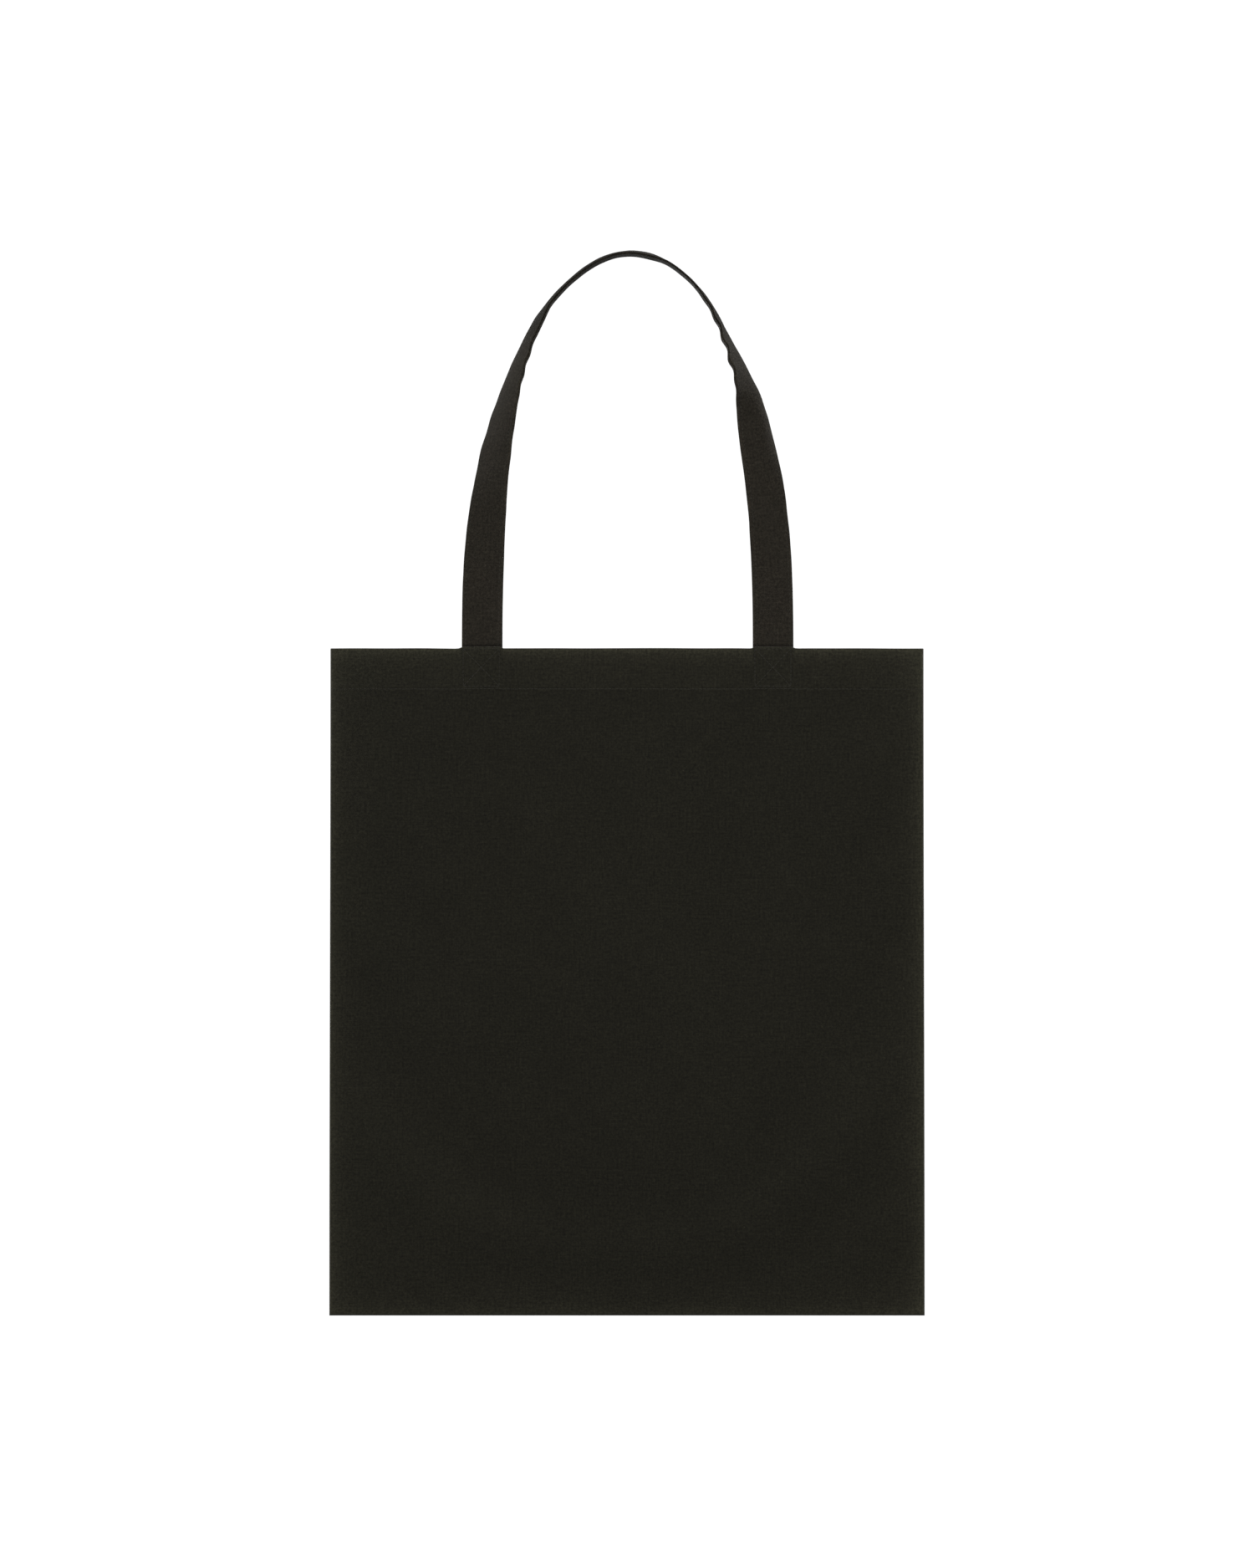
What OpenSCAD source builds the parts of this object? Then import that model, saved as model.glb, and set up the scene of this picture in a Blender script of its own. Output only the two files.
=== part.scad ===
// Flat cotton tote bag: two panels sewn along the sides and bottom, a turned top hem,
// and two folded straps whose ends are box-stitched to the hem.
// Millimetres. +Z is up, the front panel faces -Y, and the origin is the point where a
// hook or a hand carries the two straps: under their tops, midway between them.

/* [Bag] */
// Width of the sewn bag across its bottom corners
bag_w = 375; // [300:5:450]
// Height from the bottom seam to the top edge
bag_h = 420; // [350:5:500]
// How much narrower the mouth is than the bottom, from the cloth bowing out
mouth_draw_in = 1.4; // [0:0.2:4]
// How far each panel bows out from its side seams at the middle of the mouth
mouth_bow = 20; // [18:1:26]
// Thickness of one layer of cloth
cloth_t = 0.4; // [0.3:0.05:0.5]

/* [Hem] */
// Depth of the turned hem
hem_h = 27; // [22:1:40]
// Distance of the hem's line of stitching above the hem's lower fold
hem_stitch_in = 2; // [1:0.5:4]

/* [Straps] */
// Width of a finished strap
strap_w = 25.5; // [20:0.5:30]
// Thickness of a finished strap, which is the strip folded into four layers
strap_t = 1.5; // [1.2:0.1:1.8]
// Distance between the centres of one strap's two ends
strap_spacing = 184; // [140:2:220]
// Height of a strap's top above the bag's top edge
strap_rise = 250; // [200:5:330]

/* [Sewing] */
// Width of the seam allowance left inside the bag
allowance_w = 8.5; // [6:0.5:12]
// Width of the overlocking over the allowance's cut edge
overlock_w = 5; // [3:0.5:5.5]
// Width of a line of thread
thread_w = 0.5; // [0.3:0.05:0.6]
// How far a line of thread stands off the cloth
thread_proud = 0.25; // [0.15:0.05:0.35]
// Side of the square of box stitching
box_side = 22; // [16:1:22]

/* [Hidden] */

canvas = [0.13, 0.125, 0.11];
thread = [0.20, 0.19, 0.17];

half_w = bag_w / 2;
hem_t = 3 * cloth_t;                     // outer cloth, facing and turned-under edge
edge_off = 3 * cloth_t;                  // a panel's middle surface at the side seams
bow_power = 0.8;                         // how quickly the bow grows up the bag
bow_shape = 3;                           // flatness of the bow across the bag
origin_z = bag_h + strap_rise - strap_t; // the carrying point above the bottom seam
clear = 0.05;                            // sewing stands this far off a panel
loop_clear = 0.25;                       // and this far off a strap, which twists
end_clear = 0.3;                         // gap between a strap's ends and the hem's inner face
loop_gap = 0.6;                          // a strap's free loop starts this far above the top edge

panel_cols = 30;
panel_rows = 14;
loop_steps = 72;
line_steps = 30;

// The arch of a strap is the superellipse (x/a)^2 + (z/b)^arch_power = 1.
arch_power = 2.5;
arch_a = strap_spacing / 2;
arch_b = strap_rise - strap_t / 2;
twist_from = 0.08;                       // the twist's start and end, as shares of the arch's height
twist_to = 0.92;
apex_y = strap_w / 2 + 0.5;              // the two straps lie side by side at the top

function smooth(t) = let (c = min(1, max(0, t))) c * c * (3 - 2 * c);
function mix(a, b, t) = a + (b - a) * t;

// Half width of the bag, and its bow, at height z above the bottom seam.
function half_width(z) = half_w - mouth_draw_in / 2 * smooth(z / bag_h);
function bow(x, z) =
    mouth_bow * pow(max(0, z) / bag_h, bow_power)
    * (1 - pow(min(1, abs(x) / half_width(z)), bow_shape));

// Distance of a panel's outer and inner faces from the middle plane.
function outer_off(x, z) = edge_off + cloth_t / 2 + bow(x, z);
function layer_t(z) = z > bag_h - hem_h ? hem_t : cloth_t;

// A closed solid from rings of equal length, joined in order and capped at both ends.
module skin(rings) {
    n = len(rings[0]);
    last = (len(rings) - 1) * n;
    sides = [
        for (i = [0 : len(rings) - 2], j = [0 : n - 1])
            let (k = (j + 1) % n, a = i * n, b = a + n)
                each [[a + j, a + k, b + k], [a + j, b + k, b + j]]
    ];
    caps = [
        for (j = [1 : n - 2])
            each [[0, j + 1, j], [last, last + j, last + j + 1]]
    ];
    polyhedron(points = [for (r = rings) each r], faces = concat(sides, caps));
}

// side is -1 for the front of the bag and 1 for the back. Mirroring keeps one description.
module on_side(side) {
    translate([0, 0, -origin_z])
        if (side < 0) children();
        else mirror([0, 1, 0]) children();
}

// Front panel: one ring for each column of the cloth, running up its outer face and
// down its inner face, with the step of the hem near the top.
row_heights = concat(
    [for (i = [0 : panel_rows]) (bag_h - hem_h) * i / panel_rows],
    [bag_h - hem_h + 0.3, bag_h - hem_h / 2, bag_h]
);

function column_ring(u) = concat(
    [for (z = row_heights) let (x = u * half_width(z)) [x, -outer_off(x, z), z]],
    [
        for (i = [len(row_heights) - 1 : -1 : 0])
            let (z = row_heights[i], x = u * half_width(z))
                [x, -outer_off(x, z) + layer_t(z), z]
    ]
);

module panel() {
    skin_grid([for (c = [0 : panel_cols]) column_ring(-1 + 2 * c / panel_cols)]);
}

// As skin(), with end caps stitched between facing points, for rings that aren't convex.
module skin_grid(rings) {
    n = len(rings[0]);
    last = (len(rings) - 1) * n;
    sides = [
        for (i = [0 : len(rings) - 2], j = [0 : n - 1])
            let (k = (j + 1) % n, a = i * n, b = a + n)
                each [[a + j, b + k, a + k], [a + j, b + j, b + k]]
    ];
    caps = [
        for (j = [0 : n / 2 - 2])
            let (far = n - 1 - j)
                each [
                    [j, j + 1, far - 1], [j, far - 1, far],
                    [last + j, last + far - 1, last + j + 1], [last + j, last + far, last + far - 1]
                ]
    ];
    polyhedron(points = [for (r = rings) each r], faces = concat(sides, caps));
}

// Seam allowances, inside the bag between the two panels: two layers sewn together.
seam_top = bag_h - hem_h - 1;
seam_x = half_w - mouth_draw_in / 2;

module side_seam(side) {
    color(canvas)
        translate([side > 0 ? seam_x - allowance_w : -seam_x, -cloth_t, 0])
            translate([0, 0, -origin_z])
                cube([allowance_w, 2 * cloth_t, seam_top]);
}

module bottom_seam() {
    run = 2 * (seam_x - allowance_w) - 1;
    color(canvas)
        translate([-run / 2, -cloth_t, -origin_z])
            cube([run, 2 * cloth_t, allowance_w]);
}

// Overlocking wraps an allowance's cut edge, as a channel of thread.
overlock_t = 0.12;

module channel(length) {
    gap = 0.03;
    outer = cloth_t + gap + overlock_t;
    linear_extrude(height = length)
        difference() {
            translate([-gap - overlock_t, -outer]) square([overlock_w + gap + overlock_t, 2 * outer]);
            translate([-gap, -cloth_t - gap]) square([overlock_w + 2 * gap, 2 * (cloth_t + gap)]);
        }
}

module side_overlock(side) {
    color(thread)
        translate([side * (seam_x - allowance_w), 0, allowance_w + 1.5 - origin_z])
            rotate([0, 0, side > 0 ? 0 : 180])
                channel(seam_top - allowance_w - 2);
}

module bottom_overlock() {
    run = 2 * (seam_x - allowance_w) - 4;
    color(thread)
        translate([-run / 2, 0, allowance_w - origin_z])
            rotate([0, 90, 0])
                channel(run);
}

// A line of thread on the front panel's outer face, between two points [x, z].
function thread_ring(x, z, across) = let (
    y = -outer_off(x, z) - clear,
    w = across * thread_w / 2
) [
    [x - w[0], y, z - w[1]], [x + w[0], y, z + w[1]],
    [x + w[0], y - thread_proud, z + w[1]], [x - w[0], y - thread_proud, z - w[1]]
];

module thread_line(from, to, steps) {
    run = to - from;
    across = [-run[1], run[0]] / norm(run);
    skin([
        for (i = [0 : steps])
            let (p = from + run * i / steps)
                thread_ring(p[0], p[1], across)
    ]);
}

module hem_stitching() {
    z = bag_h - hem_h + hem_stitch_in;
    end = half_width(z) - 2;
    color(thread) thread_line([-end, z], [end, z], line_steps);
}

// A square with its two diagonals, over a strap's end. The lines stop short of each other.
module box_stitch(side_x) {
    lap = thread_w;
    lo = bag_h - hem_h + hem_stitch_in + 1.2;
    hi = lo + box_side;
    left = side_x * arch_a - box_side / 2;
    right = left + box_side;
    mid = [side_x * arch_a, (lo + hi) / 2];
    color(thread) {
        thread_line([left, lo + lap], [left, hi - lap], 4);
        thread_line([right, lo + lap], [right, hi - lap], 4);
        thread_line([left - lap / 2, lo], [right + lap / 2, lo], 4);
        thread_line([left - lap / 2, hi], [right + lap / 2, hi], 4);
        for (corner = [[-1, -1], [-1, 1], [1, -1], [1, 1]])
            thread_line(mid + 0.06 * corner * box_side, mid + 0.44 * corner * box_side, 3);
    }
}

// A strap's frame on its arch at angle t, from 0 at the left foot to 180 at the right one:
// its centre, the direction to its outer edge, and the direction that its outside faces.
function arch_x(t) = -arch_a * cos(t);
function arch_z(t) = arch_b * pow(sin(t), 2 / arch_power);
function out_dir(t) = let (
    n = [arch_x(t) / pow(arch_a, 2) * 2,
         arch_power * pow(arch_z(t) / arch_b, arch_power - 1) / arch_b]
) n / norm(n);

foot_y = outer_off(arch_a, bag_h) - hem_t - end_clear - strap_t / 2;
foot_yaw = atan((outer_off(arch_a - 1, bag_h) - outer_off(arch_a + 1, bag_h)) / 2);

function strap_twist(t) =
    mix(foot_yaw, 90, smooth((arch_z(t) / arch_b - twist_from) / (twist_to - twist_from)));
function strap_y(t) = -mix(foot_y, apex_y, smooth(arch_z(t) / arch_b));
function strap_centre(t) = [arch_x(t), strap_y(t), bag_h + arch_z(t)];
function strap_width_dir(t) = let (o = out_dir(t), f = strap_twist(t))
    [o[0] * cos(f), sin(f), o[1] * cos(f)];
function strap_face_dir(t) = let (o = out_dir(t), f = strap_twist(t))
    [o[0] * sin(f), -cos(f), o[1] * sin(f)];

// Four corners round a point of the strap: w across its width, d through its thickness.
function strap_ring(t, w0, w1, d0, d1) = let (
    c = strap_centre(t), w = strap_width_dir(t), f = strap_face_dir(t)
) [c + w * w0 + f * d0, c + w * w1 + f * d0, c + w * w1 + f * d1, c + w * w0 + f * d1];

loop_start = asin(pow(loop_gap / arch_b, arch_power / 2));

function loop_angles() = [for (i = [0 : loop_steps]) mix(loop_start, 180 - loop_start, i / loop_steps)];

module strap_loop() {
    skin([for (t = loop_angles()) strap_ring(t, -strap_w / 2, strap_w / 2, -strap_t / 2, strap_t / 2)]);
}

// Two rows of stitching, near the edges, on both faces of a strap's loop.
strap_stitch_in = 2.2;

module loop_stitching() {
    for (edge = [-1, 1], face = [-1, 1]) {
        w = edge * (strap_w / 2 - strap_stitch_in);
        d0 = face * (strap_t / 2 + loop_clear);
        d1 = face * (strap_t / 2 + loop_clear + thread_proud);
        skin([
            for (t = loop_angles())
                strap_ring(t, w - thread_w / 2, w + thread_w / 2, min(d0, d1), max(d0, d1))
        ]);
    }
}

// A strap's two sewn ends, flat on the inner face of the hem.
function end_ring(side_x, z) = let (
    w = [cos(foot_yaw), side_x * sin(foot_yaw)] * strap_w / 2,
    d = [-side_x * sin(foot_yaw), cos(foot_yaw)] * strap_t / 2,
    c = [side_x * arch_a, -outer_off(arch_a, z) + hem_t + strap_t / 2 + end_clear]
) [for (k = [-w - d, w - d, w + d, -w + d]) [c[0] + k[0], c[1] + k[1], z]];

module strap_ends() {
    for (side_x = [-1, 1])
        skin([for (z = [bag_h - hem_h + 0.5, bag_h - hem_h / 2, bag_h]) end_ring(side_x, z)]);
}

module front_panel() { color(canvas) on_side(-1) panel(); }
module back_panel() { color(canvas) on_side(1) panel(); }
module front_handle() { color(canvas) on_side(-1) strap_loop(); }
module back_handle() { color(canvas) on_side(1) strap_loop(); }
module front_handle_ends() { color(canvas) on_side(-1) strap_ends(); }
module back_handle_ends() { color(canvas) on_side(1) strap_ends(); }
module front_handle_stitching() { color(thread) on_side(-1) loop_stitching(); }
module back_handle_stitching() { color(thread) on_side(1) loop_stitching(); }

front_panel();
back_panel();
side_seam(-1);  // left_side_seam
side_seam(1);  // right_side_seam
bottom_seam();
side_overlock(-1);  // left_overlock_thread
side_overlock(1);  // right_overlock_thread
bottom_overlock();  // bottom_overlock_thread
on_side(-1) hem_stitching();  // front_hem_stitching
on_side(1) hem_stitching();  // back_hem_stitching
front_handle();
back_handle();
front_handle_ends();
back_handle_ends();
front_handle_stitching();
back_handle_stitching();
on_side(-1) box_stitch(-1);  // front_left_box_stitch
on_side(-1) box_stitch(1);  // front_right_box_stitch
on_side(1) box_stitch(-1);  // back_left_box_stitch
on_side(1) box_stitch(1);  // back_right_box_stitch
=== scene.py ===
"""Looks of a flat cotton tote bag: sewn cloth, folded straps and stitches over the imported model.

Metres. +Z is up, the front panel faces -Y, and the origin is the point that the bag hangs from.
side is -1 for the front and 1 for the back, and hand is -1 for the left and 1 for the right, as
seen from the front. A panel's cloth is described by three numbers: s across it from the middle,
q up it from the bottom's rounded edge, and n inwards from its outer face.
"""

import math

import bpy
import numpy as np
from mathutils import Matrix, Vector

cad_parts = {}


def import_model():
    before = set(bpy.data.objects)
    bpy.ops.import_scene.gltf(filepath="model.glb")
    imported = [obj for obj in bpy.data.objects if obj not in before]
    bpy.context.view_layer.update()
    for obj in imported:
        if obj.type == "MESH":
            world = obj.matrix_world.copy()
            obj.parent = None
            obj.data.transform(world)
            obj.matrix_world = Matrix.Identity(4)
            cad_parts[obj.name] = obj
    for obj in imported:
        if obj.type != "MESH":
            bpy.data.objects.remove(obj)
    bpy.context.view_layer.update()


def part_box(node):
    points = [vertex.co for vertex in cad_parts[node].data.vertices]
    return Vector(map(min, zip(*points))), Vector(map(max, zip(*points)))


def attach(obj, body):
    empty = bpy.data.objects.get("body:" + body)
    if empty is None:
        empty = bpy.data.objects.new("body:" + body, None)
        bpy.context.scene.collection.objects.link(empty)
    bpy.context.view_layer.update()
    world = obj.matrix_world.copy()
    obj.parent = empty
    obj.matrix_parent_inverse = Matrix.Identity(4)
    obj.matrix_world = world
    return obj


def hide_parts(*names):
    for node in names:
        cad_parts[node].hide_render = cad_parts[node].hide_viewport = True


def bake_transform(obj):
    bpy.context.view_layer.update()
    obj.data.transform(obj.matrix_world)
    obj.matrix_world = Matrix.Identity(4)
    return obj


MM = 0.001

# Cloth, hem and seams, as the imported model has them
CLOTH_T = 0.42 * MM
LAYER_GAP = 0.06 * MM
EDGE_R = 1.5 * MM  # radius of a panel's rounded side and bottom edges
EDGE_TURN = math.radians(89.8)  # how far the cloth turns into a seam
HEM_H = 27.0 * MM
HEM_STITCH_DOWN = 25.6 * MM  # the hem's line of stitches, below the top edge
TURNED_EDGE = 8.0 * MM  # cloth turned under inside the hem
MOUTH_DRAW_IN = 0.7 * MM  # each side comes in by this much at the mouth
BOW_POWER, BOW_SHAPE = 0.8, 3.0  # how a panel's bow grows upwards, and how square it is across
ALLOWANCE_W = 8.5 * MM
OVERLOCK_W = 5.0 * MM
HEM_BACK = 3 * CLOTH_T + 2 * LAYER_GAP + 0.1 * MM  # from the outer face to a strap's sewn end

# Straps
STRAP_W = 25.4 * MM
STRAP_T = 1.6 * MM
STRAP_STITCH_IN = 2.3 * MM  # from a strap's edge to its row of stitches
STRAP_X = 92.0 * MM
STRAP_TAIL = 26.0 * MM  # how far a strap's end reaches down inside the hem
ARCH_POWER = 2.5  # the arch is a superellipse: 2 in width, this in height
APEX_SHIFT = 2.6 * MM  # the straps' tops hang this far to the right
LEFT_IN = 0.8 * MM  # the left half of each strap lies this far in
APEX_Y = STRAP_W / 2 + 0.5 * MM
LEFT_BELLY, RIGHT_BELLY = 1.5 * MM, 3.4 * MM  # how far out the straps belly where they turn
CAMBER_LEFT, CAMBER_RIGHT = 0.3, 0.55  # radians from the strap's middle to its edge
SECTION_STEPS = 20  # steps of a strap's section from its middle to each edge
SEWN_ABOVE = 8 * MM  # a strap keeps its sewn shape this far above its tail,
FREE_OVER = 30 * MM  # and has its free shape after this much more
BUCKLE, BUCKLE_PITCH = 0.85 * MM, 14 * MM  # small waves of a strap's inner edge
STRAP_STEP = 1.6 * MM
# Degrees that a strap has turned from facing the front, at shares of the arch's height.
TWIST_LEFT = [
    (0, 4.5), (0.2, 8), (0.33, 24), (0.45, 41), (0.58, 53),
    (0.69, 70), (0.8, 80), (0.9, 86), (1, 87),
]
TWIST_RIGHT = [
    (0, 4.5), (0.26, 11), (0.39, 21), (0.52, 36), (0.6, 48),
    (0.66, 66), (0.73, 80), (0.84, 87), (0.93, 89), (1, 87),
]

# Stitches
PITCH = 2.45 * MM
STITCH_LENGTH = PITCH * 0.86
THREAD_R = 0.19 * MM
STITCH_JITTER = 0.05 * MM
STITCH_LEVEL = 0.5 * MM  # of a strap's stitches, out of the strap's middle
BOX_HALF_W = 11.35 * MM  # the crossed square over a strap end, and how far below
BOX_HIGH, BOX_LOW = 1.3 * MM, 24.2 * MM  # the top edge its upper and lower sides are
OVERLOCK_PITCH = 2.1 * MM
LOOPER_R, NEEDLE_R = 0.13 * MM, 0.14 * MM

WORD = {-1: "front", 1: "back"}
ANY_PHASE = 6.28  # random phases of waves lie between 0 and this
SEAM_SEEDS = {"left": 71, "right": 72, "bottom": 73}


def smooth(t):
    t = np.clip(t, 0, 1)
    return t * t * (3 - 2 * t)


def rounding(t):
    """From 0 to 1 with the slope of a rounded edge: steep at first, then level."""
    return 1 - (1 - np.clip(t, 0, 1)) ** 2


def bell(t, centre, width):
    """1 at the centre, and almost 0 from two widths away."""
    return np.exp(-((t - centre) / width) ** 2)


def fade(distance, reach):
    """1 at no distance, and about a third of that at one reach."""
    return np.exp(-distance / reach)


def ripple(t, seed, scale):
    """A smooth, irregular wave of t, between about -1 and 1."""
    rng = np.random.RandomState(seed)
    total = 0
    for k in range(5):
        wave = scale / (0.6 + 0.55 * k)
        total = total + np.sin(2 * math.pi * t / wave + rng.uniform(0, ANY_PHASE)) / (1 + 0.5 * k)
    return total / 2.2


def unit(v):
    return v / np.maximum(np.linalg.norm(v, axis=-1, keepdims=True), 1e-12)


def distance_along(points):
    """How far along a line of points each one is."""
    return np.concatenate([[0], np.cumsum(np.linalg.norm(np.diff(points, axis=0), axis=1))])


def resampled(marks, run, vectors):
    """The vectors at marks, from those that are known at each run."""
    return np.stack([np.interp(marks, run, vectors[:, k]) for k in range(3)], axis=-1)


def off_strap(x):
    """How far x is from the middle of the nearer strap."""
    return np.abs(np.abs(x) - STRAP_X)


# ---- meshes

def make_mesh(name, verts, faces, uv=None, wear_and_painted_light=None, material=None):
    """A mesh object from arrays, smooth shaded, with one UV for each vertex."""
    mesh = bpy.data.meshes.new(name)
    mesh.from_pydata(np.asarray(verts).reshape(-1, 3).tolist(), [], [list(map(int, f)) for f in faces])
    if uv is not None:
        layer = mesh.uv_layers.new(name="UVMap")
        index = np.empty(len(mesh.loops), dtype=np.int32)
        mesh.loops.foreach_get("vertex_index", index)
        layer.data.foreach_set("uv", np.asarray(uv, dtype=np.float32)[index].ravel())
    if wear_and_painted_light is not None:
        attribute = mesh.attributes.new("wear_and_painted_light", "FLOAT", "POINT")
        attribute.data.foreach_set("value", np.asarray(wear_and_painted_light, dtype=np.float32))
    mesh.polygons.foreach_set("use_smooth", [True] * len(mesh.polygons))
    mesh.validate()
    mesh.update()
    mesh.set_sharp_from_angle(angle=math.radians(50))
    if material:
        mesh.materials.append(material)
    return add_object(name, mesh)


def add_object(name, data):
    obj = bpy.data.objects.new(name, data)
    bpy.context.scene.collection.objects.link(obj)
    return obj


def ring_faces(rings, n, caps):
    """Quads between closed rings of n points, and end caps: a polygon, or quads across a thin ring."""
    faces = []
    for a in range(0, (rings - 1) * n, n):
        for j in range(n):
            k = (j + 1) % n
            faces.append((a + j, a + k, a + n + k, a + n + j))
    last = (rings - 1) * n
    if caps == "strip":
        for j in range(n // 2 - 1):
            far = n - 1 - j
            faces.append((j, far, far - 1, j + 1))
            faces.append((last + j, last + j + 1, last + far - 1, last + far))
    if caps == "polygon":
        faces.append(tuple(range(n - 1, -1, -1)))
        faces.append(tuple(range(last, last + n)))
    return faces


def shifted(faces, offset):
    return [tuple(i + offset for i in face) for face in faces]


def paired(u, v):
    return np.stack([u.ravel(), v.ravel()], axis=-1)


def flip(faces):
    return [tuple(reversed(f)) for f in faces]


# ---- how the cloth hangs

DRAPE_STEP = 6.5 * MM  # spacing of the simulated cloth's points
DRAPE_FRAMES = 36
DRAPE_EXCESS = 0.003  # how much larger the cloth is cut than the seams hold it
DRAPE_KEEP = 0.8  # share of the folds that the pressed cloth still shows
SWELL = 0.3 * MM  # height of the waves that the cloth starts with


class Drape:
    """Folds of one panel, from a cloth simulation: how far it stands off its smooth bow."""

    def __init__(self, bag, side):
        self.bag = bag
        self.cols = self.spaced(-bag.half_w, bag.half_w)
        self.rows = self.spaced(0, bag.height)
        x, h = np.meshgrid(self.cols, self.rows, indexing="ij")
        hung = self.hang(x, h, side)
        folds = (side * hung[..., 1] - bag.bow(x, h)) * DRAPE_KEEP
        folds = folds * (0.35 + 0.65 * smooth(h / (110 * MM)))
        self.folds = np.maximum(folds, -0.5 * bag.bow(x, h) - 0.2 * MM)

    def spaced(self, low, high):
        return np.linspace(low, high, int(round((high - low) / DRAPE_STEP)) + 1)

    def hang(self, x, h, side):
        """Hang the panel from its seams and strap ends, and return where its points come to rest."""
        obj = self.sheet(x, h, side)
        cloth = obj.modifiers.new("Cloth", "CLOTH")
        settings = cloth.settings
        settings.vertex_group_mass = "held"
        settings.quality, settings.mass = 6, 0.15
        settings.tension_stiffness = settings.compression_stiffness = 15
        settings.bending_stiffness = 5
        settings.shrink_min = -DRAPE_EXCESS
        settings.effector_weights.gravity = 0.2
        cloth.collision_settings.use_collision = False
        scene = bpy.context.scene
        scene.frame_start, scene.frame_end = 1, DRAPE_FRAMES
        for frame in range(1, DRAPE_FRAMES + 1):
            scene.frame_set(frame)
        mesh = obj.evaluated_get(bpy.context.evaluated_depsgraph_get()).data
        points = np.empty(len(mesh.vertices) * 3)
        mesh.vertices.foreach_get("co", points)
        bpy.data.objects.remove(obj)
        scene.frame_set(1)
        return points.reshape(x.shape + (3,))

    def sheet(self, x, h, side):
        """The panel before it hangs: a grid that is held at its seams and, loosely, at its hem."""
        rng = np.random.RandomState(5 if side < 0 else 6)
        uneven = rng.normal(0, 0.03 * MM, x.shape) + self.swell(x, h, rng)
        verts = np.stack([x, side * self.bag.bow(x, h) + uneven, h], axis=-1)
        rows = len(self.rows)
        faces = [(i * rows + j, (i + 1) * rows + j, (i + 1) * rows + j + 1, i * rows + j + 1)
                 for i in range(len(self.cols) - 1) for j in range(rows - 1)]
        obj = make_mesh("hanging_panel", verts, faces)
        sewn = (np.abs(x) > self.bag.half_w - 1 * MM) | (h < 1 * MM)
        at_strap = off_strap(x) < STRAP_W / 2
        in_hem = h > self.bag.height - HEM_H
        group = obj.vertex_groups.new(name="held")
        group.add(np.flatnonzero(in_hem).tolist(), 0.3, "REPLACE")
        group.add(np.flatnonzero(sewn | (at_strap & in_hem)).tolist(), 1.0, "REPLACE")
        return obj

    def swell(self, x, h, rng):
        """Gentle waves that the cloth starts with, so that its folds aren't even."""
        total = 0 * x
        for _ in range(6):
            turns_x, turns_h = rng.uniform(-1, 1, 2) * (22, 11)
            phase = rng.uniform(0, ANY_PHASE)
            total = total + SWELL * np.sin(2 * math.pi * (turns_x * x + turns_h * h) + phase)
        return total

    def at(self, x, h):
        """The folds at any points, smoothed by a cubic B-spline over the grid."""
        wide, tall = self.folds.shape
        col, part_x = self.place(x, self.cols)
        row, part_h = self.place(h, self.rows)
        total = 0
        for i, weight_x in enumerate(spline(part_x)):
            for j, weight_h in enumerate(spline(part_h)):
                near = self.folds[np.clip(col + i - 1, 0, wide - 1), np.clip(row + j - 1, 0, tall - 1)]
                total = total + weight_x * weight_h * near
        return total

    def place(self, value, grid):
        """The step of an even grid that a value is in, and how far through that step it is."""
        share = np.clip((value - grid[0]) / (grid[1] - grid[0]), 0, len(grid) - 1.001)
        return share.astype(int), share - share.astype(int)


def spline(t):
    """Weights of the four nearest points of a cubic B-spline, t of the way through a step."""
    return (
        (1 - t) ** 3 / 6,
        (3 * t ** 3 - 6 * t ** 2 + 4) / 6,
        (-3 * t ** 3 + 3 * t ** 2 + 3 * t + 1) / 6,
        t ** 3 / 6,
    )


# ---- the panels' surface

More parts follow.
